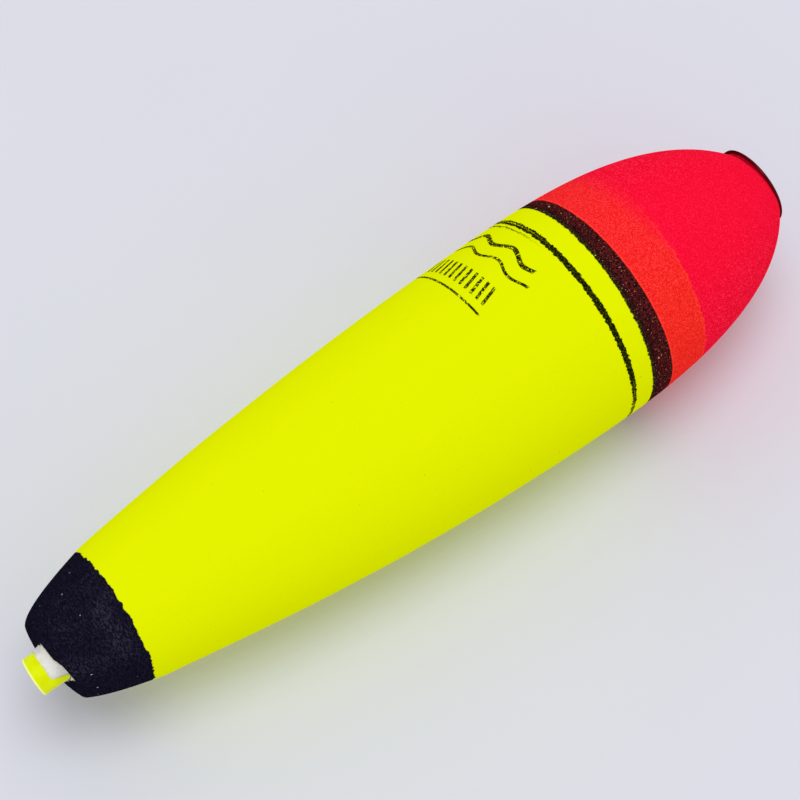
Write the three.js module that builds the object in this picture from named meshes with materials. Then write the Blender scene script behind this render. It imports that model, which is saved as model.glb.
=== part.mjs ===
// In-line fishing float, lying on its side as it rests on a bench.
//
// Millimetres, +Z up. The float's axis runs along X with the nose at +X, and the
// origin is on the bench under the middle of the float's length.
//
// A cigar-shaped blank of closed-cell foam is bored from end to end. A plastic line
// tube is bonded into the bore and stands out of the tail, a collar of white glue holds
// it there, and a flanged metal eyelet closes the bore at the nose so that a bead or a
// stop knot has something hard to bear on. The fishing line runs through all of it.

import * as THREE from 'three';

// ---------------------------------------------------------------- driving dimensions

const FOAM_LENGTH = 86;            // blank from tail face to nose face
const BELLY_RADIUS = 11.57;        // thickest place
const BELLY_STATION = 60.5;        // where that is, from the tail face
const TAIL_FACE_RADIUS = 3.15;
const NOSE_FACE_RADIUS = 3.95;

const SHOULDER_STATION = 8.5;      // where the blunt tail turns into the long taper
const SHOULDER_RADIUS = 7.24;
const TAIL_CORNER_RADIUS = 5.45;   // the point that the tail's curve leans towards
const TAPER_SLOPE = 0.16;          // growth in radius per mm just after the shoulder
const NOSE_FULLNESS = 7.6;         // how far the belly carries on before the nose turns in
const NOSE_CORNER_STATION = 80;    // the point that the nose's curve leans towards
const NOSE_CORNER_RADIUS = 10.93;

const TUBE_RADIUS = 1.95;
const TUBE_WALL = 0.7;
const TUBE_STANDS_OUT = 2.35;      // past the tail face

const GLUE_LINE = 0.15;            // clearance round everything bonded into the bore

const EYELET_LENGTH = 5;           // barrel, from the nose face inwards
const EYELET_WALL = 0.3;
const FLANGE_RADIUS = 4.4;
const FLANGE_THICKNESS = 0.3;
const FLANGE_SEAT_RADIUS = 3.6;    // the flat part that a bead bears on
const LIP_DEPTH = 0.25;            // turned-down rim, behind the flange
const LIP_WALL = 0.3;

const COLLAR_LENGTH = 1.05;        // glue collar, along the tube
const COLLAR_BASE_RADIUS = 2.55;
const COLLAR_TIP_RADIUS = 2.3;

// Every turned piece has flats, and one of them is under the float. Radii are given
// across the flats, so the corners stand a little further out.
const SIDES = 28;

// ------------------------------------------------------------------ worked-out sizes

const BORE_RADIUS = TUBE_RADIUS + GLUE_LINE;
const TUBE_END_STATION = FOAM_LENGTH - EYELET_LENGTH - 2 * GLUE_LINE;
const FLANGE_BACK = FOAM_LENGTH + GLUE_LINE;
const FLANGE_FRONT = FLANGE_BACK + FLANGE_THICKNESS;
const MIDDLE_STATION = (FLANGE_FRONT - TUBE_STANDS_OUT) / 2;

// ------------------------------------------------------------------------- materials

function finish(colour, roughness, metalness = 0) {
  return new THREE.MeshStandardMaterial({ color: colour, roughness, metalness });
}

const paintedFoam = finish(0xe3f400, 0.75);
const yellowPlastic = finish(0xdcf000, 0.4);
const whiteGlue = finish(0xdfe2dc, 0.5);
const polishedSteel = finish(0xc9ccd0, 0.18, 1);

// ----------------------------------------------------------------------- turned parts

// A section is a list of [station, radius] points, with the station measured from the
// tail face. It closes on itself, and it is turned about the float's axis.
function turnedPiece(name, section, material) {
  const cornerScale = 1 / Math.cos(Math.PI / SIDES);
  const loop = [...section, section[0]];
  const points = loop.map(([station, radius]) => new THREE.Vector2(radius * cornerScale, station));
  const geometry = new THREE.LatheGeometry(points, SIDES, Math.PI / SIDES);
  geometry.rotateZ(-Math.PI / 2);
  const mesh = new THREE.Mesh(geometry, material);
  mesh.name = name;
  return mesh;
}

// The points of a curve, without its last one, so that curves can follow each other.
function along(curve, steps) {
  return curve.getPoints(steps).slice(0, -1).map((p) => [p.x, p.y]);
}

const at = (station, radius) => new THREE.Vector2(station, radius);

// Foam blank: blunt tail, long straightening taper to the belly, full rounded nose.
function foamBody() {
  const taperCorner = SHOULDER_STATION + (BELLY_RADIUS - SHOULDER_RADIUS) / TAPER_SLOPE;
  const tail = new THREE.QuadraticBezierCurve(
    at(0, TAIL_FACE_RADIUS),
    at(0, TAIL_CORNER_RADIUS),
    at(SHOULDER_STATION, SHOULDER_RADIUS),
  );
  const taper = new THREE.QuadraticBezierCurve(
    at(SHOULDER_STATION, SHOULDER_RADIUS),
    at(taperCorner, BELLY_RADIUS),
    at(BELLY_STATION, BELLY_RADIUS),
  );
  const nose = new THREE.CubicBezierCurve(
    at(BELLY_STATION, BELLY_RADIUS),
    at(BELLY_STATION + NOSE_FULLNESS, BELLY_RADIUS),
    at(NOSE_CORNER_STATION, NOSE_CORNER_RADIUS),
    at(FOAM_LENGTH, NOSE_FACE_RADIUS),
  );
  const section = [
    [0, BORE_RADIUS],
    ...along(tail, 10),
    ...along(taper, 14),
    ...along(nose, 16),
    [FOAM_LENGTH, NOSE_FACE_RADIUS],
    [FOAM_LENGTH, BORE_RADIUS],
  ];
  return turnedPiece('foam_body', section, paintedFoam);
}

// Plain tube, cut square at both ends. It stops short of the eyelet's barrel.
function lineTube() {
  const inside = TUBE_RADIUS - TUBE_WALL;
  const section = [
    [-TUBE_STANDS_OUT, inside],
    [-TUBE_STANDS_OUT, TUBE_RADIUS],
    [TUBE_END_STATION, TUBE_RADIUS],
    [TUBE_END_STATION, inside],
  ];
  return turnedPiece('line_tube', section, yellowPlastic);
}

// Glue squeezed out round the tube and left standing on the tail face.
function tailGlueCollar() {
  const inside = TUBE_RADIUS + GLUE_LINE;
  const section = [
    [-COLLAR_LENGTH, inside],
    [-COLLAR_LENGTH, COLLAR_TIP_RADIUS],
    [-GLUE_LINE, COLLAR_BASE_RADIUS],
    [-GLUE_LINE, inside],
  ];
  return turnedPiece('tail_glue_collar', section, whiteGlue);
}

// Pressed eyelet: barrel in the bore, rolled mouth, flat seat and a turned-down rim.
function noseEyelet() {
  const outside = TUBE_RADIUS;
  const inside = outside - EYELET_WALL;
  const lipEnd = FLANGE_BACK - LIP_DEPTH;
  const rim = new THREE.QuadraticBezierCurve(
    at(FLANGE_BACK, FLANGE_RADIUS),
    at(FLANGE_FRONT, FLANGE_RADIUS),
    at(FLANGE_FRONT, FLANGE_SEAT_RADIUS),
  );
  const mouth = new THREE.QuadraticBezierCurve(
    at(FLANGE_FRONT, inside + 2 * FLANGE_THICKNESS),
    at(FLANGE_FRONT, inside),
    at(FLANGE_FRONT - 2 * FLANGE_THICKNESS, inside),
  );
  const section = [
    [FOAM_LENGTH - EYELET_LENGTH, inside],
    [FOAM_LENGTH - EYELET_LENGTH, outside],
    [FLANGE_BACK, outside],
    [FLANGE_BACK, FLANGE_RADIUS - LIP_WALL],
    [lipEnd, FLANGE_RADIUS - LIP_WALL / 2],
    [lipEnd, FLANGE_RADIUS],
    ...along(rim, 4),
    [FLANGE_FRONT, FLANGE_SEAT_RADIUS],
    ...along(mouth, 4),
    [FLANGE_FRONT - 2 * FLANGE_THICKNESS, inside],
  ];
  return turnedPiece('nose_eyelet', section, polishedSteel);
}

// --------------------------------------------------------------------------- assembly

const float = new THREE.Group();
float.add(foamBody(), lineTube(), tailGlueCollar(), noseEyelet());
float.position.set(-MIDDLE_STATION, 0, BELLY_RADIUS);

export default float;
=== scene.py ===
"""Looks of the in-line fishing float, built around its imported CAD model.

Metres, +Z up, in the CAD model's own frame: the float lies along X with its nose at +X.
Shapes are worked out in millimetres from the tail face and the float's axis, and turned
into the frame's metres in one place, turned().
"""

import math

import bpy
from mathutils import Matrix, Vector, noise


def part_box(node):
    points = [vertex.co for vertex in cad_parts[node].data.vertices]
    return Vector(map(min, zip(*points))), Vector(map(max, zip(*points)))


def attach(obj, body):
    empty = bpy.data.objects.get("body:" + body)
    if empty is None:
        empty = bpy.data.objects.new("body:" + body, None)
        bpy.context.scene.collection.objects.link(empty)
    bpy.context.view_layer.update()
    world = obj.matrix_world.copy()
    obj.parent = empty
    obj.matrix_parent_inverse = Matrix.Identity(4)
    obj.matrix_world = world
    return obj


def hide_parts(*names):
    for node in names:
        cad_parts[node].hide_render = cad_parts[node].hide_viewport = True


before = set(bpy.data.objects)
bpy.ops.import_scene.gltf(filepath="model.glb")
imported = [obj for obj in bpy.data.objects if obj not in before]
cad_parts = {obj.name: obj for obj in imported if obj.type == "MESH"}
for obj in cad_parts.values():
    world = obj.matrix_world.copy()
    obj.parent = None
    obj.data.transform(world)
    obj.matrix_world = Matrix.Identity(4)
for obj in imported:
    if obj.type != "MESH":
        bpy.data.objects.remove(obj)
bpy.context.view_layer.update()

# ---------------------------------------------------------------- places from the frame

MM = 0.001
foam_low, foam_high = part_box("foam_body")
tube_low, tube_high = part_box("line_tube")
collar_low, collar_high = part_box("tail_glue_collar")
eyelet_low, eyelet_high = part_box("nose_eyelet")

TAIL_X = foam_low.x
AXIS_Z = (foam_low.z + foam_high.z) / 2
LENGTH = (foam_high.x - foam_low.x) / MM
BELLY = (foam_high.z - foam_low.z) / 2 / MM
TUBE_RADIUS = (tube_high.z - tube_low.z) / 2 / MM
TUBE_TIP = (tube_low.x - TAIL_X) / MM
TUBE_END = (tube_high.x - TAIL_X) / MM
COLLAR_TIP = (collar_low.x - TAIL_X) / MM
COLLAR_RADIUS = (collar_high.z - collar_low.z) / 2 / MM
EYELET_START = (eyelet_low.x - TAIL_X) / MM
EYELET_FRONT = (eyelet_high.x - TAIL_X) / MM
FLANGE_RADIUS = (eyelet_high.z - eyelet_low.z) / 2 / MM
MIDDLE = Vector((TAIL_X + LENGTH * MM / 2, 0, AXIS_Z))

# The blank's curves, as shares of its length and of its belly's radius.
TAIL_FACE = 0.31
SHOULDER_AT, SHOULDER = 0.0988, 0.625
TAIL_CORNER = 0.445
BELLY_AT = 0.7035
TAPER_CORNER_AT = 0.415
NOSE_FULLNESS = 0.086
NOSE_CORNER_AT, NOSE_CORNER = 0.930, 0.948
NOSE_FACE = 0.341

TUBE_WALL = 0.7
BORE = TUBE_RADIUS + 0.15

# Sizes of the foam's grain and of the paint's unevenness, in millimetres.
GRAIN, GRIT, FINE = 0.26, 0.13, 0.10
LUMPS, TEETH, RUNS, PATCHES = 0.60, 0.30, 2.2, 3.2
STREAKS = 0.34

# The skin is unrolled at this radius, so that its spots come out round.
SKIN_RADIUS = 0.9 * BELLY

# Paint zones along the blank, in millimetres from the tail face.
BLACK_TAIL_END = 7.5
THIN_LINE_AT, THIN_LINE_WIDTH = 60.50, 0.64
BAND_START, BAND_END = 63.00, 65.15
RED_START = 70.2
PRINT_START = 50.3

# Angles round the axis are measured from straight up towards -Y.
BARE_TURN = math.radians(28)
TRIM_TURN = math.radians(110)
CHIP_TURN = math.radians(70)
CUT_TURN = math.radians(24)
LEAN_TURN = math.radians(114)
# The painted sheen on the black tail is centred on this turn.
SHEEN_TURN = math.radians(22)
EYELET_TURN = math.radians(142)
PRINT_TURN = math.radians(-29)
DIP_TURN = math.radians(-50)
GLUE_GAP_TURN = math.radians(96)
GLUE_PEAK_TURN = math.radians(20)
GLUE_SPREAD_TURN = math.radians(90)

# The hand work is not quite true: all of these are millimetres towards LEAN_TURN.
BORE_AT_TAIL, BORE_AT_NOSE = 0.50, -0.65
BOW = 0.12

# The skin is uneven by about this height, in lumps of 1 / SWELL_RATE millimetres, which
# fade out over SWELL_FADE at both ends.
SWELL_HEIGHT, SWELL_RATE, SWELL_FADE = 0.05, 0.11, 6

# The line and the band's far edge were masked askew: further on by this at LEAN_TURN.
LINE_ASKEW, BAND_ASKEW = 0.18, 0.50

# The tail's dip came out askew as well, further on by this at DIP_TURN.
DIP_ASKEW = 0.25

# Slopes of the tail's trimmed foam, of the eyelet askew on the nose, and of the tube's
# slanting cut, whose tip is at TUBE_TIP on the side of CUT_TURN. All of the tail face is
# trimmed back by TRIM_BACK, and a chip is broken out of it. The eyelet sinks into the foam
# that it is pressed on.
TRIM_BACK = 0.12
TRIM_SLOPE = 0.21
CHIP_DEPTH = 0.45
EYELET_TILT = math.tan(math.radians(4.1))
EYELET_SINK = 0.20
CUT_SLOPE = 0.22
TUBE_MIDDLE_TIP = TUBE_TIP + CUT_SLOPE * TUBE_RADIUS

# Thickness of the eyelet's flange, how far it domes and how deep its lip turns down, and
# the wall of its barrel.
FLANGE_SHEET, FLANGE_DOME, FLANGE_LIP = 0.20, 0.16, 0.12
BARREL_WALL = 0.30


# --------------------------------------------------------------------------- small tools

def curve_points(corners, steps):
    """Points of a Bezier curve with two, three or four corners, without its last one."""
    points = []
    for step in range(steps):
        t = step / steps
        layer = [Vector(corner) for corner in corners]
        while len(layer) > 1:
            layer = [a.lerp(b, t) for a, b in zip(layer, layer[1:])]
        points.append(tuple(layer[0]))
    return points


def turned(name, section, sides, shape):
    """Turns a closed list of (station, radius) points in millimetres about the axis.

    shape(station, radius, turn) moves a point. It returns (station, radius, lean), and
    lean is how far the point stands off towards LEAN_TURN.
    """
    lean_y = -math.sin(LEAN_TURN)
    lean_z = math.cos(LEAN_TURN)
    vertices = []
    for station, radius in section:
        for side in range(sides):
            turn = 2 * math.pi * side / sides
            s, r, lean = shape(station, radius, turn)
            y = -r * math.sin(turn) + lean * lean_y
            z = r * math.cos(turn) + lean * lean_z
            vertices.append((TAIL_X + s * MM, y * MM, z * MM + AXIS_Z))
    faces = []
    rows = len(section)
    for row in range(rows):
        here, there = row * sides, (row + 1) % rows * sides
        for side in range(sides):
            beside = (side + 1) % sides
            faces.append((here + side, there + side, there + beside, here + beside))
    mesh = bpy.data.meshes.new(name)
    mesh.from_pydata(vertices, [], faces)
    mesh.validate()
    mesh.update()
    piece = bpy.data.objects.new(name, mesh)
    bpy.context.scene.collection.objects.link(piece)
    for polygon in mesh.polygons:
        polygon.use_smooth = True
    return piece


def place(piece, node, material):
    """Gives a piece its material, and makes it stand for its CAD node."""
    piece.data.materials.append(material)
    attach(piece, "root")
    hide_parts(node)


def on_turn(turn, centre):
    """The angle from centre to turn, between -pi and pi."""
    return (turn - centre + math.pi) % (2 * math.pi) - math.pi


def smooth_step(value, low, high):
    """0 at low and 1 at high, which may be the smaller of the two."""
    t = min(1.0, max(0.0, (value - low) / (high - low)))
    return t * t * (3 - 2 * t)


def bore_lean(station):
    """How far the bore, and all that sits in it, has drifted off the blank's axis."""
    return BORE_AT_TAIL + (BORE_AT_NOSE - BORE_AT_TAIL) * station / LENGTH


# ----------------------------------------------------------------------- node shorthand

class Tree:
    """A material's node tree, with a short call for each kind of node it needs."""

    def __init__(self, name):
        self.material = bpy.data.materials.new(name)
        self.material.use_nodes = True
        self.nodes = self.material.node_tree.nodes
        self.links = self.material.node_tree.links
        self.shader = self.nodes["Principled BSDF"]

    def feed(self, socket, value):
        if isinstance(value, bpy.types.NodeSocket):
            self.links.new(value, socket)
        else:
            socket.default_value = value

    def set(self, name, value):
        """Gives one of the shader's own sockets a value or a link."""
        self.feed(self.shader.inputs[name], value)

    def math(self, operation, *values):
        node = self.nodes.new("ShaderNodeMath")
        node.operation = operation
        for socket, value in zip(node.inputs, values):
            self.feed(socket, value)
        return node.outputs[0]

    def add(self, *values):
        total = values[0]
        for value in values[1:]:
            total = self.math("ADD", total, value)
        return total

    def times(self, *values):
        total = values[0]
        for value in values[1:]:
            total = self.math("MULTIPLY", total, value)
        return total

    def less(self, first, second):
        return self.math("SUBTRACT", first, second)

    def size(self, value):
        return self.math("ABSOLUTE", value)

    def vector(self, operation, *values):
        node = self.nodes.new("ShaderNodeVectorMath")
        node.operation = operation
        for socket, value in zip(node.inputs, values):
            self.feed(socket, value)
        return node.outputs[0]

    def millimetres(self):
        """The point in millimetres from the tail face and the axis."""
        coordinates = self.nodes.new("ShaderNodeTexCoord").outputs["Object"]
        moved = self.vector("SUBTRACT", coordinates, (TAIL_X, 0, AXIS_Z))
        node = self.nodes.new("ShaderNodeVectorMath")
        node.operation = "SCALE"
        self.feed(node.inputs[0], moved)
        node.inputs["Scale"].default_value = 1 / MM
        return node.outputs[0]

    def parts(self, vector):
        node = self.nodes.new("ShaderNodeSeparateXYZ")
        self.feed(node.inputs[0], vector)
        return node.outputs[0], node.outputs[1], node.outputs[2]

    def joined(self, x, y, z):
        node = self.nodes.new("ShaderNodeCombineXYZ")
        for socket, value in zip(node.inputs, (x, y, z)):
            self.feed(socket, value)
        return node.outputs[0]

    def round_axis(self, y, z, drift=0.0):
        """Radius and angle round an axis that stands off by drift towards LEAN_TURN."""
        y = self.add(y, drift * math.sin(LEAN_TURN))
        z = self.less(z, drift * math.cos(LEAN_TURN))
        radius = self.math("SQRT", self.add(self.times(y, y), self.times(z, z)))
        return radius, self.math("ARCTAN2", self.times(y, -1.0), z)

    def noise(self, vector, size, detail=2.0, roughness=0.5):
        """Noise between 0 and 1 whose lumps are about size millimetres across."""
        node = self.nodes.new("ShaderNodeTexNoise")
        self.feed(node.inputs["Vector"], vector)
        node.inputs["Scale"].default_value = 1 / size
        node.inputs["Detail"].default_value = detail
        node.inputs["Roughness"].default_value = roughness
        return node.outputs["Fac"]

    def cells(self, vector, size):
        """Distance from the middle of the nearest flat cell, in cells, and its random colour."""
        node = self.nodes.new("ShaderNodeTexVoronoi")
        node.voronoi_dimensions = "2D"
        self.feed(node.inputs["Vector"], vector)
        node.inputs["Scale"].default_value = 1 / size
        return node.outputs["Distance"], self.parts(node.outputs["Color"])

    def spots(self, vector, spacing, share, radius):
        """1 in small round spots: a share of the cells, spacing millimetres apart."""
        distance, picked = self.cells(vector, spacing)
        chosen = self.math("LESS_THAN", picked[0], share)
        size = self.math("MULTIPLY_ADD", picked[1], radius / spacing, 0.4 * radius / spacing)
        return self.times(chosen, self.ramp(distance, size, self.times(size, 0.6)))

    def ramp(self, value, low, high):
        """0 at low and 1 at high, which may be the smaller of the two."""
        node = self.nodes.new("ShaderNodeMapRange")
        node.interpolation_type = "SMOOTHSTEP"
        self.feed(node.inputs["Value"], value)
        self.feed(node.inputs["From Min"], low)
        self.feed(node.inputs["From Max"], high)
        return node.outputs[0]

    def between(self, value, low, high, soft):
        """1 from low to high, fading over soft on both sides."""
        rising = self.ramp(value, low - soft, low + soft)
        return self.times(rising, self.ramp(value, high + soft, high - soft))

    def stroke(self, across, half, soft=0.04):
        """1 within half of a line, where across is the distance from its middle."""
        outer = self.add(half, soft)
        return self.ramp(self.size(across), outer, self.less(half, soft))

    def blend(self, share, first, second):
        node = self.nodes.new("ShaderNodeMix")
        node.data_type = "RGBA"
        self.feed(node.inputs["Factor"], share)
        self.feed(node.inputs["A"], first if not isinstance(first, tuple) else (*first, 1))
        self.feed(node.inputs["B"], second if not isinstance(second, tuple) else (*second, 1))
        return node.outputs["Result"]

    def either(self, *masks):
        result = masks[0]
        for mask in masks[1:]:
            result = self.math("MAXIMUM", result, mask)
        return result

    def glow(self, colour):
        """Painted light: emission of a fluorescent colour on top of what it reflects, shining even
        where no lamp reaches.
        """
        self.set("Emission Color", self.vector("MULTIPLY", colour, PAINTED_GLOW_TINT))
        self.set("Emission Strength", PAINTED_GLOW_STRENGTH)

    def bump(self, height, depth):
        """Bump whose height of 1 stands depth millimetres proud."""
        node = self.nodes.new("ShaderNodeBump")
        node.inputs["Strength"].default_value = 1.0
        node.inputs["Distance"].default_value = depth * MM
        self.feed(node.inputs["Height"], height)
        return node.outputs[0]


# ----------------------------------------------------------------------------- materials

# Painted light: fluorescent colours are given an emission of a share of their own colour, a little
# redder, which shines even where no lamp reaches.
PAINTED_GLOW_STRENGTH = 0.55
PAINTED_GLOW_TINT = (1.1, 0.92, 1.0)

YELLOW = (0.468, 0.565, 0.0)
YELLOW_DEEP = (0.435, 0.528, 0.0)
ORANGE = (0.54, 0.006, 0.007)
ORANGE_PALE = (0.66, 0.042, 0.022)
ORANGE_PINK = (0.66, 0.038, 0.040)
RED = (0.57, 0.0024, 0.0195)
RED_PALE = (0.69, 0.0130, 0.0475)
RED_GRIT = (0.82, 0.040, 0.090)
RED_DEEP = (0.47, 0.0010, 0.012)
MAROON = (0.090, 0.008, 0.009)
BAND_BLACK = (0.005, 0.003, 0.003)
BAND_SPECK = (0.36, 0.27, 0.14)
BAND_OLIVE = (0.065, 0.062, 0.010)
BLACK = (0.0028, 0.0026, 0.0070)
# Paler black of the scuffs, and of the painted sheen on top of the tail.
BLACK_WORN_AND_SHEEN = (0.027, 0.026, 0.043)
PALE_SPECK = (0.34, 0.32, 0.40)
INK = (0.0040, 0.0052, 0.0006)
INK_WORN = (0.10, 0.13, 0.006)
BARE_FOAM = (0.70, 0.71, 0.65)
DUST = (0.14, 0.15, 0.01)

TUBE_YELLOW = (0.48, 0.60, 0.0)
TUBE_CLOUD = (0.45, 0.55, 0.0)
TUBE_SCRATCH = (0.39, 0.48, 0.0)
# Pale colour of the painted highlight on the tube's cut edge.
TUBE_CUT_HIGHLIGHT = (0.60, 0.68, 0.24)
UNLIT = (0.0, 0.0, 0.0)
GLUE_WHITE = (0.84, 0.84, 0.80)
GLUE_THIN = (0.74, 0.73, 0.64)
STEEL_BRIGHT = (0.66, 0.66, 0.68)
STEEL_DULL = (0.50, 0.50, 0.52)
# Dark maroon painted shade and painted red reflection of the foam, on the eyelet's underside.
PAINTED_RIM_SHADE = (0.130, 0.006, 0.012)
PAINTED_RIM_REFLECTION = (0.30, 0.04, 0.05)
WHITE = (1.0, 1.0, 1.0)
BOARD = (0.675, 0.69, 0.77)
BOARD_CLOUD = (0.655, 0.67, 0.755)
LAMP_COLOUR = (0.95, 0.975, 1.0)
ROOM_COLOUR = (1.0, 0.975, 0.96)


class FoamPaint:
    """Painted foam: sprayed colour zones, black rings and a print, ragged on the grain."""

    def __init__(self):
        t = self.t = Tree("painted_foam")
        self.point = t.millimetres()
        self.station, self.y, self.z = t.parts(self.point)
        self.radius, self.turn = t.round_axis(self.y, self.z)
        self.skin = t.joined(self.station, t.times(self.turn, SKIN_RADIUS), 0.0)
        self.grain = t.noise(self.point, GRAIN, detail=3.0, roughness=0.6)
        self.fine = t.noise(self.point, FINE, detail=2.0)
        self.lumps = t.noise(self.point, LUMPS, detail=2.0)
        self.grit = t.noise(self.point, GRIT, detail=3.0, roughness=0.65)
        self.askew = t.math("COSINE", t.less(self.turn, LEAN_TURN))
        self.band_station = t.less(self.station, t.times(self.askew, BAND_ASKEW))
        teeth = t.noise(self.point, TEETH, detail=4.0, roughness=0.7)
        self.ragged = t.math("MULTIPLY_ADD", teeth, 1.0, -0.5)
        self.wavy = t.math("MULTIPLY_ADD", self.lumps, 1.0, -0.5)

        colour = self.sprayed_colours()
        colour, tail = self.dipped_tail(colour)
        colour, band = self.black_band(colour)
        colour, line = self.thin_line(colour)
        colour, print_mark = self.print_on_belly(colour)
        # Painted light: the paint's colours also shine as an emission.
        t.glow(colour)
        colour = self.bare_patch(colour)
        colour = self.dust(colour)
        t.set("Base Color", colour)
        self.surface(t.either(tail, band), t.either(line, print_mark))

    def towards(self, degrees, low, high):
        """0 to 1 as the cosine of the angle from this turn goes from low to high."""
        t = self.t
        return t.ramp(t.math("COSINE", t.less(self.turn, math.radians(degrees))), low, high)

    def ragged_station(self, teeth, waves):
        """The station, pushed about so that a paint edge on it comes out uneven."""
        t = self.t
        return t.add(self.station, t.times(self.ragged, teeth), t.times(self.wavy, waves))

    def sprayed_colours(self):
        """Yellow, then orange, then red over it, gritty but on top, where it is feathered."""
        t = self.t
        yellow = t.blend(t.times(t.ramp(self.grain, 0.45, 0.8), 0.35), YELLOW, YELLOW_DEEP)
        mottle = t.math("MULTIPLY_ADD", self.grit, 0.75, t.times(self.grain, 0.25))
        pale = t.blend(self.towards(120, 0.5, -0.5), ORANGE_PALE, ORANGE_PINK)
        orange = t.blend(t.ramp(mottle, 0.42, 0.66), ORANGE, pale)
        red = t.blend(t.ramp(mottle, 0.48, 0.68), RED, RED_PALE)
        near = t.ramp(self.turn, math.radians(35), math.radians(80))
        gritty = t.times(t.either(near, t.ramp(self.turn, 0.0, math.radians(-42))), 0.6)
        red = t.blend(t.times(gritty, t.ramp(mottle, 0.54, 0.64)), red, RED_GRIT)
        red = t.blend(t.times(gritty, t.ramp(mottle, 0.52, 0.42)), red, RED_DEEP)
        feather = self.towards(100, 0.574, -0.574)
        half = t.math("MULTIPLY_ADD", feather, 1.7, 0.10)
        spray = t.add(self.station, t.times(self.wavy, 0.5), t.times(self.ragged, 0.7))
        start = t.math("MULTIPLY_ADD", half, -1.5, RED_START)
        share = t.ramp(spray, start, t.math("MULTIPLY_ADD", half, 0.5, RED_START))
        warm = t.blend(share, orange, red)
        seam = t.times(t.stroke(t.less(spray, RED_START - 0.12), 0.10), t.less(1.0, feather))
        warm = t.blend(t.times(seam, 0.45), warm, ORANGE_PALE)
        return t.blend(t.ramp(self.band_station, BAND_END - 0.4, BAND_END - 0.3), yellow, warm)

    def dipped_tail(self, colour):
        """Black dip on the tail, with a crepe of short, paler streaks, made strongest on top as a
        painted sheen, and specks.
        """
        t = self.t
        runs = t.math("MULTIPLY_ADD", t.noise(self.point, RUNS), 0.7, -0.35)
        askew = t.times(t.math("COSINE", t.less(self.turn, DIP_TURN)), -DIP_ASKEW)
        edge = t.add(self.ragged_station(0.12, 0.48), runs, askew)
        tail = t.ramp(edge, BLACK_TAIL_END + 0.05, BLACK_TAIL_END - 0.05)
        wrap = t.joined(t.times(self.station, 2.4), t.times(self.turn, 5.5), t.times(self.radius, 0.5))
        streaks = t.noise(wrap, STREAKS, detail=4.0, roughness=0.75)
        patches = t.ramp(t.noise(self.point, PATCHES), 0.34, 0.66)
        # Painted sheen: the paler scuffed streaks are made strongest round the top, where the light's
        # sheen falls on the black.
        upper = t.ramp(t.math("COSINE", t.less(self.turn, SHEEN_TURN)), 0.60, 0.98)
        wear_and_sheen = t.times(t.ramp(streaks, 0.42, 0.64), t.ramp(self.grit, 0.36, 0.58))
        wear_and_sheen = t.times(wear_and_sheen, t.math("MULTIPLY_ADD", t.times(patches, upper), 0.68, 0.32))
        black = t.blend(wear_and_sheen, BLACK, BLACK_WORN_AND_SHEEN)
        specks = t.times(t.spots(self.skin, 1.9, 0.13, 0.08), t.ramp(self.radius, 4.4, 4.8))
        black = t.blend(specks, black, PALE_SPECK)
        return t.blend(tail, colour, black), tail

    def black_band(self, colour):
        """Black band: olive flecks along the yellow, then maroon where orange is dusted on."""
        t = self.t
        edge = self.ragged_station(0.38, 0.26)
        rising = t.ramp(edge, BAND_START - 0.05, BAND_START + 0.05)
        uneven = t.add(self.band_station, t.times(self.ragged, 0.12), t.times(self.wavy, 0.10))
        falling = t.ramp(uneven, BAND_END + 0.04, BAND_END - 0.04)
        band = t.times(rising, falling)
        dusk = t.ramp(edge, BAND_START, BAND_START + 1.1)
        leather = t.ramp(t.add(t.times(self.grit, 0.6), t.times(self.grain, 0.4)), 0.47, 0.58)
        inside = t.blend(t.times(dusk, leather), BAND_BLACK, MAROON)
        flecks = t.ramp(self.fine, 0.54, 0.62)
        olive = t.times(t.ramp(edge, BAND_START + 0.5, BAND_START + 0.2), flecks)
        inside = t.blend(t.times(olive, 0.9), inside, BAND_OLIVE)
        large = t.spots(self.skin, 0.80, 0.10, 0.11)
        small = t.ramp(t.noise(self.point, 0.16, detail=1.0), 0.70, 0.75)
        inside = t.blend(t.either(large, t.times(small, 0.7)), inside, BAND_SPECK)
        rim = t.stroke(t.less(self.band_station, BAND_END + 0.12), 0.06)
        colour = t.blend(t.times(rim, 0.5), colour, ORANGE_PALE)
        return t.blend(band, colour, inside), band

    def thin_line(self, colour):
        """Stamped line: toothed edges, flecked inside, and parted where the stamp slid."""
        t = self.t
        middle = t.math("MULTIPLY_ADD", self.askew, LINE_ASKEW, THIN_LINE_AT)
        across = t.less(self.ragged_station(0.52, 0.30), middle)
        low = self.towards(140, 0.276, 0.766)
        high = self.towards(-95, 0.05, 0.73)
        half = t.less(THIN_LINE_WIDTH / 2, t.times(low, 0.10))
        line = t.stroke(across, half, 0.045)
        flecked = t.times(t.ramp(self.fine, 0.57, 0.63), t.ramp(t.size(across), 0.30, 0.10))
        slit = t.stroke(t.add(across, t.times(low, 0.10), -0.05), 0.05)
        parted = t.times(slit, t.either(low, high), t.ramp(self.grain, 0.40, 0.55))
        line = t.times(line, t.less(1.0, parted))
        ink = t.blend(t.times(flecked, 0.75), INK, INK_WORN)
        second = t.add(across, 0.62, t.times(high, 0.20))
        ghost = t.times(t.stroke(second, 0.09), high, t.ramp(self.grain, 0.32, 0.46))
        line = t.either(line, ghost)
        return t.blend(line, colour, ink), line

    def print_on_belly(self, colour):
        """A plain print in the same black: waves over a row of strokes over a rule."""
        t = self.t
        around = t.times(t.less(self.turn, PRINT_TURN), 180 / math.pi)
        along = t.add(t.less(self.station, PRINT_START), t.times(self.ragged, 0.14))
        rule = t.times(t.stroke(along, 0.125), t.between(around, -33, 27.5, 0.6))

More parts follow.
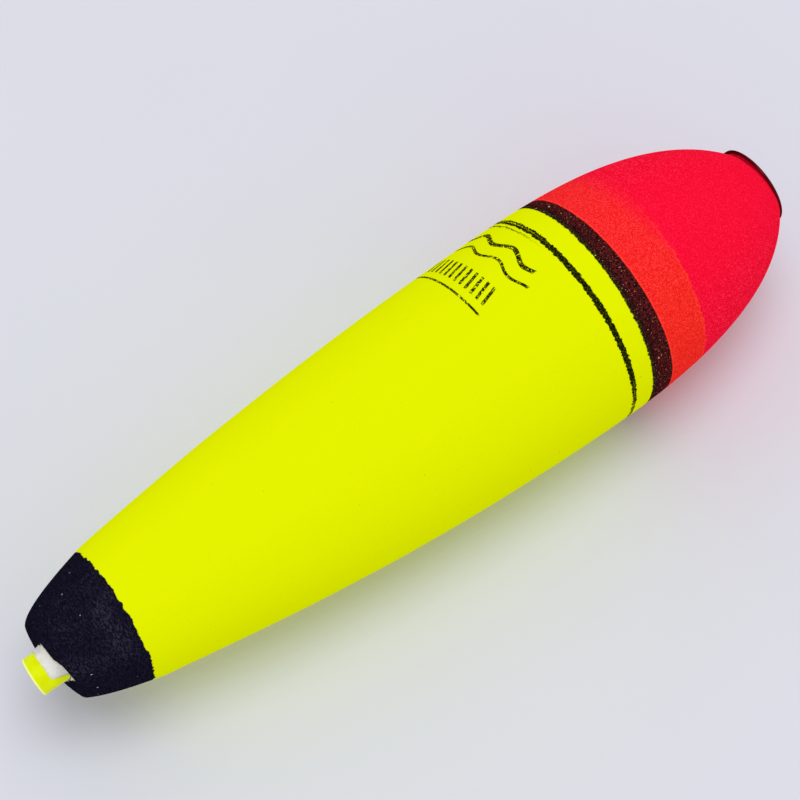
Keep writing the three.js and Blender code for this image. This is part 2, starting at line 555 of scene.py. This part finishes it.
        # Slanted strokes, with their spacing in degrees round the float.
        spacing = 4.6
        slanted = t.add(around, t.times(along, 1.7), t.times(self.ragged, 0.9))
        phase = t.less(t.math("FRACT", t.times(slanted, 1 / spacing)), 0.5)
        strokes = t.stroke(t.times(phase, spacing * math.radians(1) * BELLY), 0.19)
        strokes = t.times(strokes, t.between(along, 0.95, 3.1, 0.06))
        strokes = t.times(strokes, t.between(slanted, -29, 28, 0.2))

        # Two long waves: place along, swing and half width in mm, and from where to where.
        waves = []
        for rise, swing, half, low, high in ((5.2, 0.34, 0.17, -31, 30), (7.1, 0.40, 0.27, -33, 25)):
            beat = t.math("SINE", t.times(around, 2 * math.pi / 25))
            crest = t.less(along, t.math("MULTIPLY_ADD", beat, swing, rise))
            wave = t.times(t.stroke(crest, half), t.between(around, low, high, 0.6))
            waves.append(wave)

        mark = t.either(rule, strokes, *waves)
        mark = t.times(mark, t.ramp(self.grain, 0.36, 0.44), t.ramp(self.fine, 0.68, 0.60))
        ink = t.blend(t.ramp(self.fine, 0.54, 0.68), INK, INK_WORN)
        return t.blend(mark, colour, ink), mark

    def bare_patch(self, colour):
        """Foam left bare round the tube, wider on its upper side."""
        t = self.t
        radius, turn = t.round_axis(self.y, self.z, BORE_AT_TAIL)
        facing = t.ramp(t.math("COSINE", t.less(turn, BARE_TURN)), 0.25, 0.60)
        reach = t.math("MULTIPLY_ADD", facing, 0.70, 2.12)
        reach = t.add(reach, t.times(self.ragged, 0.5), t.times(self.wavy, 0.3))
        bare = t.ramp(t.less(reach, radius), -0.03, 0.03)
        bare = t.times(bare, t.ramp(self.station, 2.0, 1.6))
        return t.blend(bare, colour, BARE_FOAM)

    def dust(self, colour):
        """A few small dark specks in the yellow."""
        t = self.t
        zone = t.between(self.station, BLACK_TAIL_END + 0.5, BAND_START - 0.5, 0.1)
        specks = t.either(t.spots(self.skin, 3.4, 0.12, 0.09), t.spots(self.skin, 1.5, 0.06, 0.05))
        return t.blend(t.times(specks, zone, 0.5), colour, DUST)

    def surface(self, black, ink):
        """Foam grain, stronger in the sprayed zones, and paint that stands a little proud."""
        t = self.t
        dark = t.either(black, ink)
        rough = t.math("MULTIPLY_ADD", self.grain, 0.15, 0.62)
        t.set("Roughness", t.math("MULTIPLY_ADD", dark, -0.12, rough))
        t.set("Specular IOR Level", 0.0)
        warm = t.ramp(self.station, BAND_START, BAND_START + 0.2)
        strength = t.add(0.2, t.times(black, 0.8), t.times(warm, t.less(1.0, black), 1.5))
        height = t.add(t.times(self.grain, strength), t.times(dark, 0.25))
        t.set("Normal", t.bump(height, 0.08))


def foam_paint():
    return FoamPaint().t.material


def tube_plastic():
    """Yellow plastic that shines with painted light outside the foam, and has a painted highlight
    along its cut edge.
    """
    t = Tree("fluorescent_plastic")
    point = t.millimetres()
    station, y, z = t.parts(point)
    _, turn = t.round_axis(y, z, BORE_AT_TAIL)
    scratches = t.noise(t.vector("MULTIPLY", point, (0.3, 1.0, 1.0)), 0.35, detail=3.0)
    cloud = t.noise(point, 1.2)
    wall = t.blend(t.ramp(cloud, 0.35, 0.7), TUBE_YELLOW, TUBE_CLOUD)
    wall = t.blend(t.times(t.ramp(scratches, 0.5, 0.8), 0.4), wall, TUBE_SCRATCH)
    # Painted highlight: a pale band just behind the slanting cut, where the cut edge catches the
    # light.
    slant = t.times(t.math("COSINE", t.less(turn, CUT_TURN)), -CUT_SLOPE * TUBE_RADIUS)
    rim = t.ramp(t.less(station, slant), TUBE_MIDDLE_TIP + 0.22, TUBE_MIDDLE_TIP + 0.12)
    colour = t.blend(t.times(rim, 0.8), wall, TUBE_CUT_HIGHLIGHT)
    t.set("Base Color", colour)
    # The painted light of the emission is left off for the length of tube that is inside the foam.
    t.glow(t.blend(t.ramp(station, 5.0, -0.5), UNLIT, colour))
    t.set("Roughness", t.math("MULTIPLY_ADD", scratches, 0.2, 0.30))
    t.set("Specular IOR Level", 0.05)
    t.set("Normal", t.bump(scratches, 0.02))
    return t.material


def glue():
    """White glue, cloudy and a little yellow where it is thin."""
    t = Tree("white_glue")
    point = t.millimetres()
    cloud = t.noise(point, 0.7, detail=3.0)
    fine = t.noise(point, 0.15, detail=2.0)
    t.set("Base Color", t.blend(t.ramp(cloud, 0.35, 0.7), GLUE_WHITE, GLUE_THIN))
    t.set("Roughness", t.math("MULTIPLY_ADD", fine, 0.2, 0.45))
    t.set("Normal", t.bump(fine, 0.05))
    return t.material


def steel():
    """Polished pressed steel: faint turning marks, dull patches, and painted shade with a painted red
    reflection of the foam on its underside and lip.
    """
    t = Tree("polished_steel")
    point = t.millimetres()
    station, y, z = t.parts(point)
    radius, turn = t.round_axis(y, z, BORE_AT_NOSE)
    rings = t.noise(t.joined(radius, 0.0, 0.0), 0.08, detail=2.0)
    dull = t.noise(point, 1.8, detail=3.0)
    tilt = t.times(t.math("COSINE", t.less(turn, EYELET_TURN)), radius, EYELET_TILT)
    behind = t.less(EYELET_FRONT - EYELET_SINK, t.less(station, tilt))
    edge = t.ramp(radius, FLANGE_RADIUS - 0.45, FLANGE_RADIUS - 0.25)
    # Painted shade and painted reflection: the flange's lip and underside, behind its front face, are
    # made dark maroon, as the foam's red seen in the steel's shade, and the specular tint is reddened
    # the same way.
    painted_underside = t.times(edge, t.ramp(behind, 0.03, 0.08))
    bright = t.blend(dull, STEEL_BRIGHT, STEEL_DULL)
    t.set("Base Color", t.blend(painted_underside, bright, PAINTED_RIM_SHADE))
    t.set("Specular Tint", t.blend(painted_underside, WHITE, PAINTED_RIM_REFLECTION))
    t.set("Metallic", 1.0)
    t.set("Roughness", t.math("MULTIPLY_ADD", t.ramp(dull, 0.4, 0.8), 0.18, 0.08))
    t.set("Normal", t.bump(rings, 0.006))
    return t.material


def pale_floor():
    """Plain pale board under the float."""
    t = Tree("pale_floor")
    coordinates = t.nodes.new("ShaderNodeTexCoord").outputs["Object"]
    cloud = t.noise(t.vector("MULTIPLY", coordinates, (1 / MM, 1 / MM, 1 / MM)), 40.0)
    t.set("Base Color", t.blend(cloud, BOARD, BOARD_CLOUD))
    t.set("Roughness", 0.8)
    t.set("Specular IOR Level", 0.2)
    return t.material


# -------------------------------------------------------------------------------- pieces

def foam_section():
    """The blank's outline, from the bore at the tail round the outside to the bore again."""
    shoulder = (SHOULDER_AT * LENGTH, SHOULDER * BELLY)
    belly = (BELLY_AT * LENGTH, BELLY)
    nose_face = (LENGTH, NOSE_FACE * BELLY)
    tail_face = (0, TAIL_FACE * BELLY)
    face_rings = 8
    tail_ring = (tail_face[1] - BORE) / face_rings
    nose_ring = (nose_face[1] - BORE) / face_rings
    section = [(0, BORE + tail_ring * ring) for ring in range(face_rings)]
    section += curve_points([tail_face, (0, TAIL_CORNER * BELLY), shoulder], 46)
    section += curve_points([shoulder, (TAPER_CORNER_AT * LENGTH, BELLY), belly], 120)
    nose_corner = (NOSE_CORNER_AT * LENGTH, NOSE_CORNER * BELLY)
    full = ((BELLY_AT + NOSE_FULLNESS) * LENGTH, BELLY)
    section += curve_points([belly, full, nose_corner, nose_face], 90)
    section += [(LENGTH, nose_face[1] - nose_ring * ring) for ring in range(face_rings + 1)]
    inner_steps = 12
    section += [(LENGTH * (1 - step / inner_steps), BORE) for step in range(1, inner_steps)]
    return section


def tail_cut(radius, turn):
    """The station of the tail's face, trimmed slanting on one side, with a chip out of it."""
    chip = CHIP_DEPTH * max(0.0, math.cos(on_turn(turn, CHIP_TURN))) ** 6
    chip *= 1 - smooth_step(radius, 2.8, 4.0)
    slant = TRIM_SLOPE * radius * max(0.0, math.cos(on_turn(turn, TRIM_TURN)))
    return TRIM_BACK + slant + chip


def foam_shape(station, radius, turn):
    """Hand-finished foam: a chipped tail, a leaning nose, never quite round or straight."""
    bow = BOW * math.sin(2 * math.pi * (station / LENGTH - 0.2))
    bow *= smooth_step(station, 0, 0.15 * LENGTH) * smooth_step(station, LENGTH, 0.85 * LENGTH)
    face = TAIL_FACE * BELLY if station < LENGTH / 2 else NOSE_FACE * BELLY
    outward = smooth_step(radius, BORE, face)
    lean = bore_lean(station) + (bow - bore_lean(station)) * outward
    shift = max(0.0, tail_cut(radius, turn) - station)
    tilt = EYELET_TILT * radius * math.cos(on_turn(turn, EYELET_TURN))
    shift += min(0.0, tilt) * smooth_step(station, LENGTH - 1.0, LENGTH)
    here = Vector((station, radius * math.sin(turn), radius * math.cos(turn))) * SWELL_RATE
    ends = min(1.0, station / SWELL_FADE) * min(1.0, (LENGTH - station) / SWELL_FADE)
    swell = SWELL_HEIGHT * noise.noise(here) * ends
    # Underneath, nothing may reach below the flats that the float rests on.
    under = -math.cos(turn)
    if under > 0.7:
        swell = min(swell, 0.0)
        lean *= 1 - smooth_step(under, 0.7, 0.9) * outward
    return station + shift, radius + swell * outward, lean


def make_foam():
    piece = turned("foam_blank", foam_section(), sides=224, shape=foam_shape)
    place(piece, "foam_body", foam_paint())


def tube_shape(station, radius, turn):
    """A slanting cut at the tail, and the same drift as the bore."""
    if station < 0:
        share = smooth_step(station, -0.2, TUBE_MIDDLE_TIP + 0.7)
        station -= share * CUT_SLOPE * radius * math.cos(on_turn(turn, CUT_TURN))
        station += share * 0.03 * noise.noise(Vector((math.cos(turn), math.sin(turn), 0)) * 3)
    return station, radius, bore_lean(station)


def make_tube():
    """Tube with a slightly burred cut at the tail."""
    inside = TUBE_RADIUS - TUBE_WALL
    tip = TUBE_MIDDLE_TIP
    soft = 0.07
    section = [
        (tip + soft, inside),
        (tip + soft * 0.3, inside + soft * 0.3),
        (tip, inside + soft),
        (tip, TUBE_RADIUS - soft),
        (tip + soft * 0.3, TUBE_RADIUS - soft * 0.3),
        (tip + soft, TUBE_RADIUS),
    ]
    rings = (tip + 0.3, tip + 0.6, tip + 1.0, 1.5)
    section += [(station, TUBE_RADIUS) for station in rings]
    section += [(TUBE_END, TUBE_RADIUS), (TUBE_END, inside)]
    section += [(station, inside) for station in reversed(rings)]
    piece = turned("tube", section[::-1], sides=96, shape=tube_shape)
    place(piece, "line_tube", tube_plastic())


def collar_shape(station, radius, turn):
    """Glue that stands along the tube on most sides and has broken away on one."""
    away = abs(on_turn(turn, GLUE_GAP_TURN))
    kept = smooth_step(away, math.radians(18), math.radians(45))
    lumps = noise.noise(Vector((math.cos(turn) * 2, math.sin(turn) * 2, station * 1.5)))
    height = 0.72 + 0.13 * math.cos(on_turn(turn, GLUE_PEAK_TURN))
    spread = 0.5 - 0.5 * math.cos(on_turn(turn, GLUE_SPREAD_TURN))
    face = tail_cut(radius, turn)
    if station < 0:
        station *= 0.02 + (height + 0.06 * lumps) * kept
        station += face * (1 - kept)
    else:
        station += face
    over = radius - TUBE_RADIUS
    if over > 0.1:
        radius = TUBE_RADIUS + over * (0.38 + 0.10 * spread) * (0.15 + 0.85 * kept) + 0.04 * lumps
    return station, radius, bore_lean(station)


def make_collar():
    inside = TUBE_RADIUS + 0.01
    tip = COLLAR_TIP
    section = [
        (0.45, inside),
        (tip * 0.5, inside),
        (tip, inside),
        (tip, inside + 0.06),
        (tip * 0.96, inside + 0.12),
        (tip * 0.8, inside + 0.20),
        (tip * 0.55, inside + 0.30),
        (tip * 0.3, inside + 0.40),
        (tip * 0.1, COLLAR_RADIUS - 0.10),
        (0.0, COLLAR_RADIUS),
        (0.12, COLLAR_RADIUS + 0.04),
        (0.45, COLLAR_RADIUS),
    ]
    piece = turned("glue_collar", section, sides=128, shape=collar_shape)
    place(piece, "tail_glue_collar", glue())


def eyelet_shape(station, radius, turn):
    """The eyelet seats a little askew on the nose."""
    share = smooth_step(station, EYELET_FRONT - 1.6, EYELET_FRONT - 0.6)
    tilt = EYELET_TILT * radius * math.cos(on_turn(turn, EYELET_TURN))
    station += share * (tilt - EYELET_SINK)
    return station, radius, bore_lean(LENGTH)


def make_eyelet():
    """Pressed flange, domed, with a rolled mouth and a lip, and its barrel in the bore."""
    front = EYELET_FRONT
    crest = front + FLANGE_DOME
    back = front - FLANGE_SHEET
    lip = back - FLANGE_LIP
    outside = TUBE_RADIUS
    inside = outside - BARREL_WALL
    seat = FLANGE_RADIUS * 0.82
    rim = FLANGE_RADIUS
    section = [(EYELET_START, inside), (EYELET_START, outside), (back - 0.3, outside)]
    section += curve_points([(back - 0.3, outside), (back, outside), (back, outside + 0.3)], 6)
    section += [(back, seat)]
    section += curve_points([(back, rim - 0.45), (back, rim - 0.25), (lip, rim - 0.22)], 6)
    section += curve_points([(lip, rim - 0.22), (lip - 0.02, rim - 0.1), (lip + 0.04, rim)], 5)
    section += curve_points([(lip + 0.04, rim), (front - 0.1, rim), (front - 0.07, rim - 0.01)], 5)
    section += curve_points([(front - 0.07, rim - 0.01), (front, rim - 0.04), (front, rim - 0.2)], 8)
    section += curve_points([(front, rim - 0.2), (crest, rim - 0.9), (crest, inside + 0.9)], 12)
    section += curve_points([(crest, inside + 0.9), (crest, inside), (front - 0.9, inside)], 12)
    section += [(front - 0.9, inside)]
    piece = turned("eyelet", section, sides=160, shape=eyelet_shape)
    place(piece, "nose_eyelet", steel())


# --------------------------------------------------------------------- floor, light, view

def make_floor():
    """A flat floor, 3 m to each side of the float."""
    reach = 3.0
    mesh = bpy.data.meshes.new("floor")
    corners = [(-reach, -reach, 0), (reach, -reach, 0), (reach, reach, 0), (-reach, reach, 0)]
    mesh.from_pydata(corners, [], [(0, 1, 2, 3)])
    floor = bpy.data.objects.new("floor", mesh)
    floor.data.materials.append(pale_floor())
    bpy.context.scene.collection.objects.link(floor)


def make_light(name, place_at, size, power):
    """A round area light, aimed at the middle of the float, in metres and watts."""
    lamp = bpy.data.lights.new(name, "AREA")
    lamp.shape = "DISK"
    lamp.size = size
    lamp.energy = power
    lamp.color = LAMP_COLOUR
    holder = bpy.data.objects.new(name, lamp)
    holder.location = Vector(place_at)
    holder.rotation_euler = (MIDDLE - holder.location).to_track_quat("-Z", "Y").to_euler()
    bpy.context.scene.collection.objects.link(holder)


def make_lights():
    """One large softbox overhead, a weak fill in front, and the room's even light."""
    make_light("softbox", (0.0, -0.045, 0.80), size=0.5, power=2.43)
    make_light("fill", (-0.2, -0.7, 0.45), size=0.8, power=0.4)
    world = bpy.data.worlds.new("studio")
    world.use_nodes = True
    background = world.node_tree.nodes["Background"]
    background.inputs["Color"].default_value = (*ROOM_COLOUR, 1.0)
    background.inputs["Strength"].default_value = 0.73
    bpy.context.scene.world = world


def make_camera():
    """The camera of the photo, as fitted to the float's outline and its paint rings."""
    azimuth = math.radians(-36.9)
    elevation = math.radians(61.5)
    distance = 0.253
    aim_right, aim_up = -0.00177, 0.0015
    forward = Vector((
        -math.sin(azimuth) * math.cos(elevation),
        math.cos(azimuth) * math.cos(elevation),
        -math.sin(elevation),
    ))
    right = forward.cross(Vector((0, 0, 1))).normalized()
    up = right.cross(forward)
    lens = bpy.data.cameras.new("camera")
    lens.sensor_width = 36
    lens.lens = 117
    lens.clip_start = 0.01
    camera = bpy.data.objects.new("camera", lens)
    camera.location = MIDDLE + aim_right * right + aim_up * up - distance * forward
    camera.rotation_euler = forward.to_track_quat("-Z", "Y").to_euler()
    bpy.context.scene.collection.objects.link(camera)
    bpy.context.scene.camera = camera


bpy.context.scene.view_settings.view_transform = "Standard"
make_camera()
make_foam()
make_tube()
make_collar()
make_eyelet()
make_floor()
make_lights()
